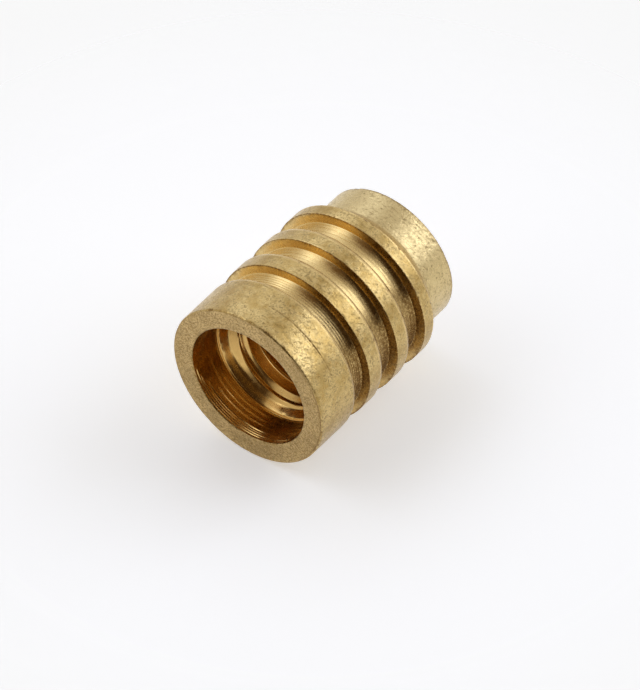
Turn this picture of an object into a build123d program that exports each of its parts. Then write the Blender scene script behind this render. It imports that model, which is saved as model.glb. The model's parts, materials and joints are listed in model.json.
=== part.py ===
from build123d import *
import math
import os

# Outside, in millimetres. The insert stands on its nose, and depths are counted down from the collar's face.
# The collar's wall is measured from the counterbore, and the nose steps in from the collar.
collar_wall = 1.25
collar_length = 2.8
groove_length = 1.44
groove_length_step = 0.05
barb_land = 0.98
barb_land_step = 0.1
barb_count = 3
barb_chamfer_length = 0.19
barb_chamfer_depth = 0.075
first_groove_depth = 0.66
groove_depth_step = 0.03
groove_wall_angle = 26.0
groove_rise = 0.12
groove_hollow = 0.05
back_slope_length = 0.79
back_slope_hollow = 0.1
nose_step = 0.8
nose_length = 2.0
edge_break = 0.05

# Inside. The thread is a quarter of an inch wide and makes twenty turns to the inch, and both mouths clear it.
counterbore_clearance = 1.15
counterbore_depth = 2.25
drill_point_angle = 118.0
thread_diameter = 6.35
thread_pitch = 1.27
thread_angle = 60.0
thread_depth_share = 0.28
thread_root_share = 0.125
thread_cutter_share = 1.4
thread_start_angle = 251.0
countersink_clearance = 0.35
countersink_angle = 90.0
overrun = 1.0

thread_radius = thread_diameter / 2
thread_depth = thread_depth_share * thread_pitch
bore_radius = thread_radius - thread_depth
counterbore_diameter = thread_diameter + counterbore_clearance
counterbore_radius = counterbore_diameter / 2
countersink_diameter = thread_diameter + countersink_clearance
countersink_radius = countersink_diameter / 2
body_diameter = counterbore_diameter + 2 * collar_wall
body_radius = body_diameter / 2
nose_diameter = body_diameter - 2 * nose_step
nose_radius = nose_diameter / 2
groove_starts = [collar_length]
for barb in range(barb_count):
    groove_starts.append(groove_starts[-1] + groove_length + barb * groove_length_step + barb_land - barb * barb_land_step)
shank_length = groove_starts[-1]
overall_length = shank_length + back_slope_length + nose_length


def place(radius, depth):
    """A point of the half section, by its radius and its depth below the collar's face."""
    return Vector(radius, 0, overall_length - depth)


def straight_run(points):
    """Straight edges from each point to the next."""
    return [Edge.make_line(start, end) for start, end in zip(points, points[1:])]


def hollow_slope(start, end, hollow):
    """An arc that dips below the straight line from start to end by the hollow at its middle."""
    run = end - start
    inward = Vector(run.Z, 0, -run.X).normalized()
    return Edge.make_three_point_arc(start, (start + end) / 2 + inward * hollow, end)


def turned(edges):
    """The solid that a closed chain of edges sweeps when it is turned about Z."""
    return Solid.revolve(Face(Wire(edges)), 360, Axis.Z)


def cone_length(radius, angle):
    """How long a cone is that ends in a point, from its widest radius and the full angle at its point."""
    return radius / math.tan(math.radians(angle / 2))


def outside_edges():
    """The collar, the barbs and the nose, as one chain of edges down the outside. Behind each land come a
    chamfer and the steep wall of a groove, whose hollow bottom ends at the next barb's square face."""
    land_start = place(body_radius, edge_break)
    land_end = place(body_radius, collar_length)
    edges = straight_run([place(body_radius - edge_break, 0), land_start])
    for barb in range(barb_count):
        crest_depth = groove_starts[barb] + groove_length + barb * groove_length_step
        groove_depth = first_groove_depth + barb * groove_depth_step
        wall_start_depth = groove_starts[barb] + barb_chamfer_length
        wall_run = (groove_depth - barb_chamfer_depth) * math.tan(math.radians(groove_wall_angle))
        wall_start = place(body_radius - barb_chamfer_depth, wall_start_depth)
        wall_foot = place(body_radius - groove_depth, wall_start_depth + wall_run)
        face_foot = place(body_radius - groove_depth + groove_rise, crest_depth)
        edges += straight_run([land_start, land_end, wall_start, wall_foot])
        edges.append(hollow_slope(wall_foot, face_foot, groove_hollow))
        land_start = place(body_radius, crest_depth)
        land_end = place(body_radius, groove_starts[barb + 1])
        edges += straight_run([face_foot, land_start])
    nose_start = place(nose_radius, shank_length + back_slope_length)
    nose_edge = place(nose_radius, overall_length - edge_break)
    edges += straight_run([land_start, land_end])
    edges.append(hollow_slope(land_end, nose_start, back_slope_hollow))
    edges += straight_run([nose_start, nose_edge, place(nose_radius - edge_break, overall_length)])
    return edges


def drilled_blank():
    """The turned outside with a plain hole of the thread's inner diameter right through it."""
    hole_points = [
        place(nose_radius - edge_break, overall_length),
        place(bore_radius, overall_length),
        place(bore_radius, 0),
        place(body_radius - edge_break, 0),
    ]
    return turned(outside_edges() + straight_run(hole_points))


def thread_cutter():
    """A right-hand helical ridge that cuts the thread, longer than the threaded hole by a turn at each end."""
    cutter_depth = thread_cutter_share * thread_depth
    cutter_radius = thread_radius - cutter_depth
    root_half = thread_root_share * thread_pitch / 2
    mouth_half = root_half + cutter_depth * math.tan(math.radians(thread_angle / 2))
    corners = [
        Vector(cutter_radius, 0, -mouth_half),
        Vector(thread_radius, 0, -root_half),
        Vector(thread_radius, 0, root_half),
        Vector(cutter_radius, 0, mouth_half),
    ]
    profile = Face(Wire(straight_run(corners + corners[:1])))
    length = overall_length - counterbore_depth + 2 * thread_pitch
    ridge = Solid.sweep(profile, Wire(Edge.make_helix(thread_pitch, length, cutter_radius)), is_frenet=True)
    return Pos(0, 0, -thread_pitch) * Rot(0, 0, thread_start_angle) * ridge


def mouth_cutter():
    """The drill that makes the counterbore with its cone-shaped bottom and the broken edge of its mouth."""
    points = [
        place(0, counterbore_depth + cone_length(counterbore_radius, drill_point_angle)),
        place(counterbore_radius, counterbore_depth),
        place(counterbore_radius, edge_break),
        place(counterbore_radius + edge_break, 0),
        place(counterbore_radius + edge_break, -overrun),
        place(0, -overrun),
    ]
    return turned(straight_run(points + points[:1]))


def nose_countersink():
    """The cone that opens the thread where it leaves the nose."""
    points = [
        place(0, overall_length - cone_length(countersink_radius, countersink_angle)),
        place(countersink_radius, overall_length),
        place(countersink_radius, overall_length + overrun),
        place(0, overall_length + overrun),
    ]
    return turned(straight_run(points + points[:1]))


threaded_blank = (drilled_blank() - thread_cutter()).solid()
insert_body = (threaded_blank - mouth_cutter() - nose_countersink()).solid()

os.makedirs("parts", exist_ok=True)
export_step(insert_body, "parts/insert_body.step")
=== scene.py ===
import json

import bmesh
import bpy
import numpy as np
from mathutils import Matrix, Vector

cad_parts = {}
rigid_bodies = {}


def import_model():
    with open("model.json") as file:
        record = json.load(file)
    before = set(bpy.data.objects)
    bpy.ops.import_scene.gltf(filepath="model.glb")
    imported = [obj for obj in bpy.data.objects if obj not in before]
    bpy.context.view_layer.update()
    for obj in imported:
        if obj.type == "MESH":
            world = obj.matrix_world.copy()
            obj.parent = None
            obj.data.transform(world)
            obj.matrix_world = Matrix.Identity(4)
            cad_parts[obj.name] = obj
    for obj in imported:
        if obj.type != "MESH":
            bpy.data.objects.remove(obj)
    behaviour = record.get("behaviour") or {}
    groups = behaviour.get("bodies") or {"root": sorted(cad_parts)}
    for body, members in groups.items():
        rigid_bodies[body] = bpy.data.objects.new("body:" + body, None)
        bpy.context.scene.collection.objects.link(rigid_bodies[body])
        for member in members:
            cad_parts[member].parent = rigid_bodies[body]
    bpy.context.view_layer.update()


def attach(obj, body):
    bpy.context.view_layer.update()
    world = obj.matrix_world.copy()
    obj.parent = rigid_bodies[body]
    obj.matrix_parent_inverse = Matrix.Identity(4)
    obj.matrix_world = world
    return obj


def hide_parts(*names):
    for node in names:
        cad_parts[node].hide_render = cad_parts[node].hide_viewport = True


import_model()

scene = bpy.context.scene

# The insert's body: a length of brass rod, turned in one piece to a plain collar, three barbs and a
# narrower nose. It is drilled through, counterbored at the collar and tapped, and then tumbled with
# others, which dulls its edges and speckles every surface that the others can reach.
# Lengths are in millimetres, and depths are counted from the collar's face towards the nose.
mm = 0.001
columns = 200
length = 12.7
body_radius = 5.0
edge_break = 0.05
collar_end = 2.8
groove_lengths = (1.44, 1.49, 1.54)
groove_depths = (0.66, 0.69, 0.72)
barb_lands = (0.98, 0.88, 0.78)
chamfer_length, chamfer_depth = 0.19, 0.075
wall_lean = np.tan(np.radians(26.0))
groove_rise = 0.12
groove_hollow = 0.05
shank_end = 9.91
back_slope_end = 10.7
back_slope_hollow = 0.1
nose_radius = 4.2
nose_break = 0.03
counterbore_radius = 3.75
ledge_depth = 2.2
ledge_radius = 3.62
cone_radius = 3.36
cone_depth = 2.66
cone_slope = np.tan(np.radians(59.0))
countersink_radius = 3.35
thread_pitch = 1.27
thread_root = 3.175
thread_crest = 2.8194
thread_start_angle = 251.0
thread_join_radius = 3.25
# Stretches of the turn, as middle angle, half width and fade in degrees, over which the grooves, the chamfers
# and the feet of the barbs' faces carry painted shade.
groove_shade_angle, groove_shade_half_width, groove_shade_fade = -131.0, 38.0, 24.0
foot_shade_angle, foot_shade_half_width, foot_shade_fade = -112.0, 52.0, 16.0
edge_rounding = 0.016
thread_rounding = 0.012
in_bore, on_face, on_outside = 0, 1, 2
angle = np.arange(columns) * 2.0 * np.pi / columns


def hollow_line(start, end, hollow, points=17):
    """Points from start to end, pushed inwards by hollow times 4 t (1 - t), which is a shallow arc."""
    start, end = np.array(start), np.array(end)
    t = np.linspace(0.0, 1.0, points)[:, None]
    run = end - start
    inward = np.array((-run[1], run[0])) / np.hypot(*run)
    return start + run * t + inward * hollow * 4.0 * t * (1.0 - t)


def half_section():
    """Corners of the half section as (radius, depth), from the cone at the bottom of the counterbore
    out over the face, down the outside and in to the nose's countersink."""
    cone_end = cone_depth + (cone_radius - thread_join_radius) / cone_slope
    runs = [
        [(thread_join_radius, cone_end), (cone_radius, cone_depth), (ledge_radius, ledge_depth)],
        [(counterbore_radius, ledge_depth - 0.03), (counterbore_radius, edge_break)],
        [(counterbore_radius + edge_break, 0.0), (body_radius - edge_break, 0.0), (body_radius, edge_break)],
    ]
    depth = collar_end
    for groove, deep, land in zip(groove_lengths, groove_depths, barb_lands):
        crest = depth + groove
        wall = depth + chamfer_length
        wall_foot = (body_radius - deep, wall + (deep - chamfer_depth) * wall_lean)
        face_foot = (body_radius - deep + groove_rise, crest)
        runs.append([(body_radius, depth), (body_radius - chamfer_depth, wall)])
        runs.append(hollow_line(wall_foot, face_foot, groove_hollow))
        runs.append([(body_radius, crest)])
        depth = crest + land
    runs.append(hollow_line((body_radius, depth), (nose_radius, back_slope_end), back_slope_hollow))
    countersink_end = length - countersink_radius + thread_join_radius
    runs.append([(nose_radius, length - nose_break), (nose_radius - nose_break, length)])
    runs.append([(countersink_radius, length), (thread_join_radius, countersink_end)])
    return np.concatenate([np.asarray(run, float).reshape(-1, 2) for run in runs])


def along(points):
    """How far along the chain of points each of them lies."""
    return np.concatenate([[0.0], np.cumsum(np.hypot(*np.diff(points, axis=0).T))])


# Marks that the lathe's tools left: depth, or on the face radius, then half width and cut, and the stretch
# of the turn that they show on, from one angle round the axis to another in degrees.
outside_marks = np.array([
    (1.60, 0.026, 0.018, -108, -46), (1.47, 0.020, 0.005, -112, -76), (1.74, 0.020, 0.006, -110, -80),
    (3.43, 0.028, 0.014, -180, 180), (3.56, 0.028, 0.019, -180, 180), (3.70, 0.028, 0.015, -180, 180),
    (3.84, 0.026, 0.011, -180, 180), (3.98, 0.024, 0.008, -180, 180), (4.11, 0.022, 0.006, -180, 180),
    (5.98, 0.030, 0.003, -180, 180), (6.18, 0.030, 0.003, -180, 180), (6.42, 0.030, 0.003, -180, 180),
    (8.40, 0.030, 0.003, -180, 180), (8.62, 0.030, 0.003, -180, 180), (8.86, 0.030, 0.003, -180, 180),
    (9.96, 0.035, 0.006, -180, 180), (10.12, 0.040, 0.005, -180, 180),
    (10.72, 0.030, 0.005, -180, 180), (11.05, 0.020, 0.002, -180, 180), (11.75, 0.016, 0.003, -180, 180),
    (12.05, 0.016, 0.003, -180, 180), (12.28, 0.016, 0.003, -180, 180), (12.46, 0.016, 0.003, -180, 180),
])
bore_marks = np.array([
    (0.20, 0.024, 0.034, -300, -150), (0.34, 0.022, 0.036, -290, -140), (0.48, 0.020, 0.028, -270, -160),
    (0.64, 0.024, 0.034, -280, -150), (0.90, 0.020, 0.012, -60, 30), (1.06, 0.024, 0.018, -270, -150),
    (1.25, 0.020, 0.014, -20, 40), (1.40, 0.022, 0.014, -300, -120), (1.58, 0.020, 0.012, -10, 60),
    (1.76, 0.022, 0.014, -280, -100), (1.95, 0.022, 0.014, -30, 50), (2.10, 0.022, 0.012, -180, 180),
])
face_marks = np.array([
    (4.885, 0.030, 0.022, -178, -84), (4.42, 0.018, 0.003, -180, 180), (4.12, 0.018, 0.003, -180, 180),
])
mark_fade = 8.0


def turn_window(middle, half, fade):
    """One where an angle round the axis lies less than half from the middle, all in degrees, and zero
    elsewhere, with a straight fade across each limit."""
    off = np.abs((np.degrees(angle) - middle + 180.0) % 360.0 - 180.0)
    return np.clip((half - off) / fade + 0.5, 0.0, 1.0)


def marks_cut(place, marks):
    """How deep the marks cut at each place along the section and each angle round it: the sum of bell
    curves across the marks, each times a window on its own stretch of the turn."""
    across = np.exp(-((place[:, None] - marks[:, 0]) / marks[:, 1]) ** 2) * marks[:, 2]
    middle, half = 0.5 * (marks[:, 3] + marks[:, 4]), 0.5 * (marks[:, 4] - marks[:, 3])
    return across @ turn_window(middle[:, None], half[:, None], mark_fade)


def rounded_section():
    """The half section with its corners rounded by averaging along its length under a bell curve. Rows
    lie close together where it bends or carries a tool mark, and about 0.16 mm apart elsewhere. With each
    row come its radius, depth, heading and bend, its zone and how far along the section it lies."""
    corners = half_section()
    reach = along(corners)
    even, step = np.linspace(0.0, reach[-1], int(reach[-1] / 0.004), retstep=True)
    line = np.stack([np.interp(even, reach, corners[:, axis]) for axis in (0, 1)], axis=1)
    half = int(4 * edge_rounding / step)
    bell = np.exp(-0.5 * (np.arange(-half, half + 1) * step / edge_rounding) ** 2)
    before = 2 * line[0] - line[half:0:-1]
    after = 2 * line[-1] - line[-2:-half - 2:-1]
    padded = np.concatenate([before, line, after])
    smooth = np.stack([np.convolve(padded[:, axis], bell / bell.sum(), "valid") for axis in (0, 1)], axis=1)
    heading = np.unwrap(np.arctan2(*np.gradient(smooth, axis=0).T[::-1]))
    bend = np.gradient(heading) / step
    bore_end, face_end = reach[4], reach[6]
    zone = np.where(even < bore_end, in_bore, np.where(even < face_end, on_face, on_outside))
    closer = np.zeros(len(even))
    rows_at_marks = (
        (in_bore, 1, bore_marks, 45.0), (on_face, 0, face_marks, 30.0), (on_outside, 1, outside_marks, 34.0),
    )
    for number, axis, marks, rows_per_mm in rows_at_marks:
        nearest = np.abs(smooth[:, axis][:, None] - marks[:, 0]).min(axis=1)
        closer = np.where(zone == number, rows_per_mm * np.exp(-(nearest / 0.05) ** 2), closer)
    density = 6.0 + 2.6 * np.abs(bend) + closer
    count = np.concatenate([[0.0], np.cumsum(density[1:] * step)])
    at = np.interp(np.linspace(0.0, count[-1], int(count[-1])), count, even)
    take = lambda values: np.interp(at, even, values)
    row_zone = np.round(take(zone)).astype(int)
    return take(smooth[:, 0]), take(smooth[:, 1]), take(heading), take(bend), row_zone, at


def ring_noise(seed, waves):
    """A wavy line that closes on itself round the body: a sum of cosines with random strengths and turns."""
    rng = np.random.default_rng(seed)
    number = np.arange(1, waves + 1)
    strength = rng.normal(size=waves)
    turn = rng.uniform(0.0, 2.0 * np.pi, waves)
    wave = (strength[:, None] * np.cos(number[:, None] * angle + turn[:, None])).sum(axis=0)
    return wave / wave.std()


def stains_and_shade(radius, depth, heading, zone, cut, nick, nicks):
    """How brown each point is, from 0 to 1: the sum of a line along the rims of the barbs and the nose, a
    faint film in the groove bottoms and on the chamfers all round, painted shade that darkens the grooves and
    the chamfers over one stretch of the turn and is thickest at the foot of each barb's face, the chips below
    the rims, and the bottoms of nicks and tool marks."""
    rim_width, chip_width, mark_depth, nick_depth = 0.06, 0.16, 0.018, 0.016
    rise = np.cos(heading)
    outside = zone == on_outside
    barb_face = outside & (rise > 0.3) & (depth > collar_end)
    barb_rim = np.where(barb_face, np.exp(-((body_radius - radius) / rim_width) ** 2), 0.0)
    below_rim = np.where(barb_face, np.exp(-((body_radius - radius) / chip_width) ** 2), 0.0)
    nose_rim = outside * np.exp(-((length - depth) / rim_width) ** 2) * np.clip((radius - 4.0) / 0.1, 0.0, 1.0)
    chip_ring = np.clip((depth * 2.0).astype(int), 0, len(nicks) - 1)
    chips = np.clip(nicks[chip_ring] - 0.4, 0.0, 0.7) * 1.4 * below_rim[:, None]
    chamfer = outside & (rise < -0.15) & (radius > body_radius - chamfer_depth - 0.02) & (depth < shank_end)
    below_collar = outside * (depth > collar_end)
    bottom = below_collar * (depth < shank_end) * np.clip((4.75 - radius) / 0.2, 0.0, 1.0)
    grooved = below_collar * (depth < shank_end - 0.2) * np.clip((4.97 - radius) / 0.05, 0.0, 1.0)
    rising = grooved * np.clip((rise - 0.08) / 0.10, 0.0, 1.0)
    # Painted shade: the groove bottoms, the chamfers and the faces rising to the barbs are darker over the
    # stretches of the turn that these windows pick. This is on top of a brown film all round, which is faint
    # in the groove bottoms and stronger on the chamfers.
    window = turn_window(groove_shade_angle, groove_shade_half_width, groove_shade_fade)
    foot_window = turn_window(foot_shade_angle, foot_shade_half_width, foot_shade_fade)
    film_and_shade = bottom[:, None] * (0.04 + 0.70 * window) + rising[:, None] * 0.26 * window
    film_and_shade = film_and_shade + chamfer[:, None] * (0.16 + 0.34 * window)
    film_and_shade = np.maximum(film_and_shade, rising[:, None] * 0.62 * foot_window)
    marks_hold = np.where(zone == in_bore, 0.0, 1.0 - 0.75 * grooved)
    stain_and_shade_sum = np.maximum(barb_rim, nose_rim)[:, None] + film_and_shade + chips + nick / nick_depth
    return np.clip(stain_and_shade_sum + marks_hold[:, None] * cut / mark_depth, 0.0, 1.0)


def turned_surface():
    """The outside, the face and the counterbore as a grid, rows along the section by columns round the
    axis. Each point moves inwards along the section's normal by the tool marks and the nicks in the edges.
    With the points come how far tumbling reached, how sharply the outside bends, the stains with the painted
    shade in the grooves, and the face."""
    radius, depth, heading, bend, zone, at = rounded_section()
    normal_r, normal_d = np.sin(heading), -np.cos(heading)
    cuts = [marks_cut(depth, bore_marks), marks_cut(radius, face_marks), marks_cut(depth, outside_marks)]
    cut = np.choose(zone[:, None], cuts)
    marked = (zone != in_bore) | (radius > counterbore_radius - 0.02)
    cut = cut * marked[:, None] * np.clip(0.85 + 0.25 * ring_noise(3, 14), 0.3, 1.3)
    convex = np.clip(bend / 14.0, 0.0, 1.0)
    nicks = np.stack([ring_noise(20 + part, 80) for part in range(24)])
    nick_ring = np.clip((at * 1.1).astype(int), 0, len(nicks) - 1)
    nick = np.clip(nicks[nick_ring] - 1.0, 0.0, 1.6) * 0.018 * convex[:, None]
    inward = cut + nick
    r = radius[:, None] - normal_r[:, None] * inward
    z = length - depth[:, None] + normal_d[:, None] * inward
    points = np.stack([r * np.cos(angle), r * np.sin(angle), np.broadcast_to(z, r.shape)], axis=-1)
    sloping = np.clip((np.abs(np.cos(heading)) - 0.03) / 0.06, 0.0, 1.0) * (depth > collar_end - 0.05)
    outer = np.clip((radius - 4.80) / 0.12, 0.0, 1.0) * (1.0 - sloping)
    outer = np.maximum(outer, np.clip((depth - back_slope_end + 0.6) / 0.3, 0.0, 1.0))
    tumbled = np.choose(zone, [np.clip((0.14 - depth) / 0.1, 0.0, 1.0), np.ones_like(radius), outer])
    worn = np.where(radius > 4.0, np.clip(bend / 12.0, -1.0, 1.0), 0.0)
    stain_and_shade = stains_and_shade(radius, depth, heading, zone, cut, nick, nicks)
    tile = lambda row: np.broadcast_to(row[:, None], r.shape)
    return points, tile(tumbled), tile(worn), stain_and_shade, tile((zone == on_face) * 1.0)


def thread_surface():
    """The tapped hole as a grid on the helix, rows across the thread's section by columns round the axis:
    height is pitch times (turn + share of the section + angle / 360), and radius is the section's, but
    never less than the cone's or the countersink's at that height. Rows past either end close on its ring."""
    half = np.array((0.0, 0.05, 0.07, 0.11, 0.16, 0.205, 0.23, 0.28, 0.40))
    share = np.concatenate([half, [0.5], 1.0 - half[:0:-1]])
    fine = np.arange(-600, 600) / 600.0
    root_half_share, depth_share, flank_angle = 0.0625, 0.28, np.radians(30.0)
    flank = (np.abs((fine + 0.5) % 1.0 - 0.5) - root_half_share) / (depth_share * np.tan(flank_angle))
    section = thread_root - np.clip(flank, 0.0, 1.0) * (thread_root - thread_crest)
    bell = np.exp(-0.5 * (np.arange(-40, 41) / 600.0 / thread_rounding) ** 2)
    section = np.convolve(section, bell / bell.sum(), "same")
    turns = np.arange(-2, 10)
    rows = (turns[:, None] + share).ravel()
    row_radius = np.interp(np.tile(share, len(turns)) % 1.0, fine[600:], section[600:])
    z = thread_pitch * (rows[:, None] + (angle - np.radians(thread_start_angle)) / (2.0 * np.pi))
    low = countersink_radius - thread_join_radius
    high = length - cone_depth - (cone_radius - thread_join_radius) / cone_slope
    ended = (z <= low) | (z >= high)
    z = np.clip(z, low, high)
    cone = cone_radius - (length - cone_depth - z) * cone_slope
    mouth = np.maximum(cone, countersink_radius - z)
    r = 0.5 * (row_radius[:, None] + mouth + np.sqrt((row_radius[:, None] - mouth) ** 2 + 0.012 ** 2))
    r = np.where(ended, thread_join_radius, r)
    return np.stack([r * np.cos(angle), r * np.sin(angle), z], axis=-1), len(share)


def grid_faces(rows, shift, first):
    """Four corners for each square of a grid that closes round the axis. The last column joins the first,
    as many rows on as the shift says."""
    row, column = np.meshgrid(np.arange(rows - 1), np.arange(columns), indexing="ij")
    wrap = (column == columns - 1) * shift
    here = row * columns + column
    there = (row + wrap) * columns + (column + 1) % columns
    faces = np.stack([here, there, there + columns, here + columns], axis=-1)[row + wrap < rows - 1]
    return faces + first


body_points, *body_values = turned_surface()
thread_points, thread_rows = thread_surface()
body_faces = grid_faces(len(body_points), 0, 0)
thread_faces = grid_faces(len(thread_points), thread_rows, body_points[..., 0].size)
points = np.concatenate([body_points.reshape(-1, 3), thread_points.reshape(-1, 3)]) * mm
faces = np.concatenate([body_faces, thread_faces])
insert_mesh = bpy.data.meshes.new("insert_body_turned")
insert_mesh.vertices.add(len(points))
insert_mesh.vertices.foreach_set("co", points.ravel())
insert_mesh.loops.add(faces.size)
insert_mesh.loops.foreach_set("vertex_index", faces.ravel())
insert_mesh.polygons.add(len(faces))
insert_mesh.polygons.foreach_set("loop_start", np.arange(len(faces)) * 4)
insert_mesh.update(calc_edges=True)
for name, values in zip(("tumbled", "bent", "stain_and_shade", "faced"), body_values):
    whole = np.concatenate([values.ravel(), np.zeros(thread_points[..., 0].size)])
    insert_mesh.attributes.new(name, "FLOAT", "POINT").data.foreach_set("value", whole)
shell = bmesh.new()
shell.from_mesh(insert_mesh)
bmesh.ops.remove_doubles(shell, verts=shell.verts[:], dist=0.0004 * mm)
bmesh.ops.dissolve_degenerate(shell, edges=shell.edges[:], dist=0.0004 * mm)
bmesh.ops.recalc_face_normals(shell, faces=shell.faces[:])
open_edges = sum(not edge.is_manifold for edge in shell.edges)
shell.to_mesh(insert_mesh)
shell.free()
insert_mesh.polygons.foreach_set("use_smooth", np.ones(len(insert_mesh.polygons), bool))
triangles = sum(len(face.vertices) - 2 for face in insert_mesh.polygons)
print("insert body: open edges", open_edges, "triangles", triangles, "rows", len(body_points))
insert_body = bpy.data.objects.new("insert_body_turned", insert_mesh)
scene.collection.objects.link(insert_body)


class Shade:
    """One socket of a node tree. Python's operators on it add Math nodes to the same tree."""

    def __init__(self, tree, socket=None):
        self.tree, self.socket = tree, socket

    def node(self, kind, settings=(), sockets=(), output=0):
        """Adds a node of that kind, makes its settings, fills or links its sockets and gives one output."""
        made = self.tree.nodes.new(kind)
        for name, value in dict(settings).items():
            setattr(made, name, value)
        for name, value in dict(sockets).items():
            if isinstance(value, Shade):
                self.tree.links.new(value.socket, made.inputs[name])
            else:
                made.inputs[name].default_value = value
        return Shade(self.tree, made.outputs[output] if made.outputs else None)

    def math(self, operation, *values):
        return self.node("ShaderNodeMath", {"operation": operation}, dict(enumerate(values)))

    def rise(self, low, high):
        """Goes smoothly from 0 at low to 1 at high; with low above high it falls instead."""
        if low > high:
            return 1.0 - self.rise(high, low)
        sockets = {"Value": self, "From Min": low, "From Max": high}
        return self.node("ShaderNodeMapRange", {"interpolation_type": "SMOOTHSTEP"}, sockets)

    def most(self, limit):
        return self.math("MINIMUM", self, limit)

    def blend(self, first, second):
        """Colour that is the first where this is 0 and the second where it is 1."""
        return self.node("ShaderNodeMix", {"data_type": "RGBA"}, {0: self, 6: first, 7: second}, 2)

    def __add__(self, other):
        return self.math("ADD", self, other)

    __radd__ = __add__

    def __sub__(self, other):
        return self.math("SUBTRACT", self, other)

    def __rsub__(self, other):
        return self.math("SUBTRACT", other, self)

    def __mul__(self, other):
        return self.math("MULTIPLY", self, other)

    __rmul__ = __mul__


brass_light = (0.69, 0.51, 0.215, 1.0)
brass_dull = (0.475, 0.32, 0.106, 1.0)
brass_clean = (0.75, 0.55, 0.235, 1.0)
brass_bored = (0.67, 0.43, 0.145, 1.0)
brass_face = (0.36, 0.235, 0.084, 1.0)
brass_face_light = (0.73, 0.525, 0.235, 1.0)
brass_nose = (0.68, 0.53, 0.258, 1.0)
brass_speck = (0.20, 0.125, 0.04, 1.0)
# The dark brown of stains and of the painted shade in the grooves.
brass_stain_and_shade = (0.19, 0.10, 0.026, 1.0)

brass = bpy.data.materials.new("tumbled_brass")
brass.use_nodes = True
brass.node_tree.nodes.clear()
start = Shade(brass.node_tree)
place = start.node("ShaderNodeTexCoord", output=3)
place_mm = start.node("ShaderNodeVectorMath", {"operation": "SCALE"}, {0: place, "Scale": 1000.0})
reached = start.node("ShaderNodeAttribute", {"attribute_name": "tumbled"}, output=2)
bend_mask = start.node("ShaderNodeAttribute", {"attribute_name": "bent"}, output=2)
stain_and_shade = start.node("ShaderNodeAttribute", {"attribute_name": "stain_and_shade"}, output=2)
faced = start.node("ShaderNodeAttribute", {"attribute_name": "faced"}, output=2)
height_mm = start.node("ShaderNodeSeparateXYZ", {}, {0: place_mm}, 2)
flat_mm = start.node("ShaderNodeVectorMath", {"operation": "MULTIPLY"}, {0: place_mm, 1: (1.0, 1.0, 0.0)})
bored = start.node("ShaderNodeVectorMath", {"operation": "LENGTH"}, {0: flat_mm}, 1).rise(3.86, 3.78)
nose = height_mm.rise(2.6, 1.8) * (1.0 - bored)


def noise(vector, scale, detail=2.0, roughness=0.5):
    sockets = {"Vector": vector, "Scale": scale, "Detail": detail, "Roughness": roughness}
    return start.node("ShaderNodeTexNoise", {"noise_dimensions": "3D"}, sockets)


def drawn_out(stretch, turn):
    """Coordinates in millimetres, turned and then stretched, so that a noise on them gives streaks."""
    sockets = {"Vector": place_mm, "Rotation": turn}
    turned = start.node("ShaderNodeVectorRotate", {"rotation_type": "EULER_XYZ"}, sockets)
    return start.node("ShaderNodeVectorMath", {"operation": "MULTIPLY"}, {0: turned, 1: stretch})


clouds = noise(place_mm, 0.9, 3.0, 0.55)
mottle = noise(place_mm, 2.6, 3.0, 0.6)
grain = noise(place_mm, 8.5, 2.0, 0.6)
fine_grain = noise(place_mm, 15.0, 2.0, 0.6)
turning = noise(drawn_out((0.3, 0.3, 8.0), (0.0, 0.0, 0.0)), 1.5, 3.0, 0.7)
scuffs = noise(drawn_out((7.0, 1.3, 7.0), (0.5, 0.3, 0.9)), 1.0, 2.0, 0.6).rise(0.58, 0.68)
other_scuffs = noise(drawn_out((1.3, 7.0, 7.0), (0.8, 0.6, 0.4)), 1.0, 2.0, 0.6).rise(0.58, 0.68)
sockets = {"Vector": place_mm, "Scale": 2.0, "Randomness": 1.0}
pits = start.node("ShaderNodeTexVoronoi", {"feature": "F1"}, sockets).rise(0.16, 0.08)

clusters = 0.15 + (mottle * 0.6 + clouds * 0.4).rise(0.44, 0.60) * 0.85
flecks = grain.rise(0.52, 0.62) * clusters + fine_grain.rise(0.54, 0.64) * clusters * 0.8
flecks = flecks * (1.0 + faced * 1.1 - nose * 0.55) + pits * 0.8 + (scuffs + other_scuffs) * 0.5
specks = flecks.most(1.0) * reached
edges = bend_mask.rise(0.30, 0.8)

tone = (clouds * 0.6 + mottle * 0.4).rise(0.38, 0.62).blend(brass_dull, brass_light)
face_tone = (grain * 0.7 + mottle * 0.3).rise(0.43, 0.57).blend(brass_face, brass_face_light)
tone = nose.blend(faced.blend(tone, face_tone), brass_nose)
tone = (1.0 - reached).blend(tone, bored.blend(brass_clean, brass_bored))
tone = (specks * 0.64).blend(tone, brass_speck)
broken = grain.rise(0.34, 0.56)
# Dark brown from the stains, from the painted shade in the grooves on one side of the turn, and along the
# convex edges.
tone = (stain_and_shade * (0.45 + broken * 0.5) + edges * broken * 0.35).most(0.92).blend(tone, brass_stain_and_shade)
dullness = 0.26 - bored * 0.04 + reached * 0.03 + faced * 0.06 + (mottle - 0.5) * 0.30 + specks * 0.15
grain_relief = (grain - 0.5) * 0.013 + (mottle - 0.5) * 0.028 + (fine_grain - 0.5) * 0.005 - specks * 0.005
turning_depth = 0.010 - reached * 0.007 - bored * 0.008 + nose * 0.010
height = reached * grain_relief + faced * (grain - 0.5) * 0.016 + (turning - 0.5) * turning_depth
relief = start.node("ShaderNodeBump", {}, {"Strength": 1.0, "Distance": mm, "Height": height})
sockets = {"Base Color": tone, "Metallic": 1.0, "Roughness": dullness, "Normal": relief}
metal = start.node("ShaderNodeBsdfPrincipled", {}, sockets)
start.node("ShaderNodeOutputMaterial", {}, {"Surface": metal})
insert_mesh.materials.append(brass)
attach(insert_body, "root")
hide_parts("insert_body")

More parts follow.
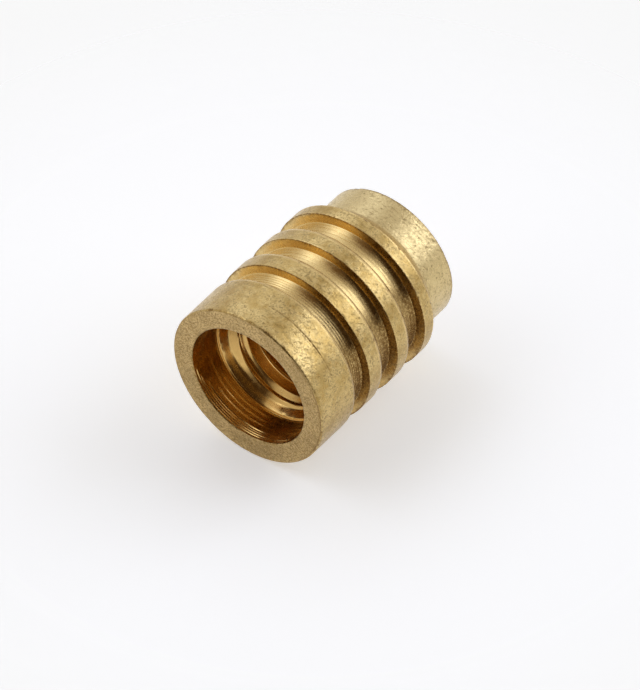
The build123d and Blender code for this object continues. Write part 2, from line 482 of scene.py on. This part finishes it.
# The floor: a sheet of white paper, on which the insert lies on its side. It is seen from above only, and
# fades into the white round it, so that no edge shows. Part of its white is its own, so that the
# shadow on it stays as faint as on the real paper.
view_right = Vector((-0.5635, -0.5635, -0.6041))
floor_up = Vector((0.7071, -0.7071, 0.0))
floor_away = Vector((0.4275, 0.4267, -0.7969))
floor_reach = 0.070
floor_clearance = 0.02
floor_centre = floor_up * (-(body_radius + floor_clearance) * mm) + Vector((0.0, 0.0, 0.5 * length * mm))
paper_white = (0.82, 0.825, 0.81, 1.0)
paper_own_white = 0.415
fade_start, fade_end = 0.016, 0.036
floor_mesh = bpy.data.meshes.new("paper_floor")
corner_signs = ((-1, -1), (1, -1), (1, 1), (-1, 1))
floor_corners = [floor_centre + (view_right * a + floor_away * b) * floor_reach for a, b in corner_signs]
floor_mesh.from_pydata([tuple(corner) for corner in floor_corners], [], [(0, 1, 2, 3)])
floor_mesh.update()
if floor_mesh.polygons[0].normal.dot(floor_up) < 0.0:
    floor_mesh.flip_normals()
floor = bpy.data.objects.new("paper_floor", floor_mesh)
scene.collection.objects.link(floor)
paper = bpy.data.materials.new("white_paper")
paper.use_nodes = True
paper.node_tree.nodes.clear()
start = Shade(paper.node_tree)
place = start.node("ShaderNodeTexCoord", output=3)
away = start.node("ShaderNodeVectorMath", {"operation": "DISTANCE"}, {0: place, 1: tuple(floor_centre)}, 1)
behind = start.node("ShaderNodeNewGeometry", output=6)
seen, mirrored, passed = (start.node("ShaderNodeLightPath", output=name) for name in
                          ("Is Camera Ray", "Is Glossy Ray", "Is Transmission Ray"))
faded = away.rise(fade_start, fade_end)
gone = faded.math("MAXIMUM", faded, behind)
own_white = (seen + mirrored + passed).most(1.0) * paper_own_white
sheet = start.node("ShaderNodeBsdfDiffuse", {}, {"Color": paper_white})
glow = start.node("ShaderNodeEmission", {}, {"Color": (1.0, 1.0, 1.0, 1.0), "Strength": own_white})
lit_sheet = start.node("ShaderNodeAddShader", {}, {0: sheet, 1: glow})
open_air = start.node("ShaderNodeBsdfTransparent")
surface = start.node("ShaderNodeMixShader", {}, {0: gone, 1: lit_sheet, 2: open_air})
start.node("ShaderNodeOutputMaterial", {}, {"Surface": surface})
floor_mesh.materials.append(paper)

# The light: a white tent round the table, with a bright panel at the right, a paler one behind, a
# broad one high at the left, and an opening towards the camera through which the room is dark.
tent = bpy.data.worlds.new("white_tent")
scene.world = tent
tent.use_nodes = True
tent.node_tree.nodes.clear()
start = Shade(tent.node_tree)
direction = start.node("ShaderNodeTexCoord", output=0)
degrees = 180.0 / np.pi
warm_white = (1.0, 0.95, 0.88, 1.0)
cool_white = (1.0, 1.05, 1.20, 1.0)
room_brown = (1.0, 0.60, 0.30, 1.0)


def facing(aim):
    """How much a ray points along a direction."""
    return start.node("ShaderNodeVectorMath", {"operation": "DOT_PRODUCT"}, {0: direction, 1: tuple(aim)}, 1)


elevation = start.math("ARCSINE", facing(floor_up)) * degrees


def panel(bearing, wide, low, high, soft):
    """A panel of the tent's wall, by the bearing of its middle in degrees right of straight away from the
    camera, its half width, its lowest and highest elevation above the floor and its soft border."""
    b = np.radians(bearing)
    ahead = facing(view_right * np.sin(b) + floor_away * np.cos(b))
    across = facing(view_right * np.cos(b) - floor_away * np.sin(b))
    sideways = start.math("ABSOLUTE", start.math("ARCTAN2", across, ahead)) * degrees
    upright = elevation.rise(low - soft, low + soft) * elevation.rise(high + soft, high - soft)
    return sideways.rise(wide + soft, wide - soft) * upright


wall_white, zenith_drop, page_white = 0.69, 0.54, 0.94
tent_level, opening_drop = 1.12, 0.92
below = elevation.rise(1.0, -4.0)
lit = wall_white - elevation.rise(62.0, 76.0) * zenith_drop
lit = lit + panel(74.0, 26.0, 16.0, 50.0, 4.0) * 1.25
lit = lit + panel(-8.0, 20.0, 25.0, 47.0, 5.0) * 0.34
lit = lit + panel(-62.0, 40.0, 36.0, 60.0, 7.0) * 0.92
opening = panel(171.0, 64.0, -2.0, 76.0, 6.0)
bright = lit * tent_level * (1.0 - opening * opening_drop) * (1.0 - below) + below * page_white
dim = bright.rise(0.55, 0.20)
tint = dim.blend(bright.rise(0.5, 1.3).blend(warm_white, cool_white), room_brown)
tint = below.blend(tint, (1.0, 1.0, 1.0, 1.0))
background = start.node("ShaderNodeBackground", {}, {"Color": tint, "Strength": bright})
start.node("ShaderNodeOutputWorld", {}, {"Surface": background})

# The camera: a long lens, so that the insert's two ends are drawn to the same scale, and turned so
# that the floor lies level in the picture while the insert keeps its place on its own axis.
camera_distance = 0.8
view_height = 0.0369
camera_up = Vector((0.7999, -0.1895, -0.5696))
camera_back = Vector((0.2064, -0.8040, 0.5573))
aimed_at = Vector((-0.369, -2.611, 9.071)) * mm
lens = bpy.data.cameras.new("camera")
lens.sensor_width = 36.0
lens.lens = lens.sensor_width * camera_distance / view_height
lens.clip_start = 0.01
lens.clip_end = 10.0
camera = bpy.data.objects.new("camera", lens)
scene.collection.objects.link(camera)
turn = Matrix((view_right, camera_up, camera_back)).transposed().to_4x4()
camera.matrix_world = Matrix.Translation(aimed_at + camera_back * camera_distance) @ turn
scene.camera = camera

scene.view_settings.view_transform = "Standard"
